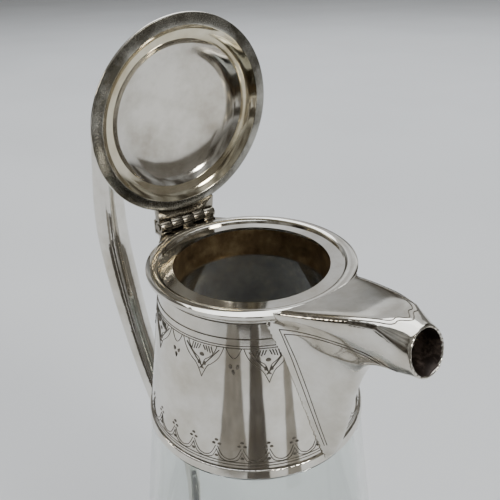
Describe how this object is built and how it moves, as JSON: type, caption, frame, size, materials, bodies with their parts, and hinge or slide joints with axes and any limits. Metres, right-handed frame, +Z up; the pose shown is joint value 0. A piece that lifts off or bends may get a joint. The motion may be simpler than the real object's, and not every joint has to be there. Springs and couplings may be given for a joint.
{
  "type": "claret jug",
  "caption": "Tapering glass claret jug with an engraved silver collar, beak spout, looped handle and a hinged domed lid shown open.",
  "frame": {"origin": "centre of the flat underside of the glass, on the jug's axis", "axes": "+Z up along the jug's axis, +X towards the spout, hinge axis along Y at the back above the handle"},
  "size_m": [0.1933, 0.1172, 0.2849],
  "materials": {
    "glass": "polished clear",
    "silver": "hand polished, lightly tarnished",
    "gilt": "worn and tarnished",
    "cement": "matt"
  },
  "bodies": {
    "jug": {"glass_body": "glass", "neck_cement": "cement", "collar": "silver", "collar_foot_band": "silver", "rim_plate": "silver", "rim_bead": "silver", "rim_wire": "silver", "gilt_lining": "gilt", "spout_shell": "silver", "spout_nozzle": "silver", "hinge_body_leaf": "silver", "hinge_pin": "silver", "handle": "silver", "handle_socket": "silver", "handle_tail_ball": "silver", "handle_tail_peg": "silver", "girdle_band": "silver", "girdle_wire_upper": "silver", "girdle_wire_lower": "silver"},
    "lid": {"hinge_lid_leaf": "silver", "lid_flange": "silver", "lid_dome": "silver", "finial_collar": "silver", "lid_finial": "silver"}
  },
  "joints": [
    {"name": "lid_hinge", "type": "hinge", "parent": "jug", "child": "lid", "pos_m": [-0.0407, 0, 0.209], "axis": [0, 1, 0], "range_deg": [0, 82.3]}
  ]
}
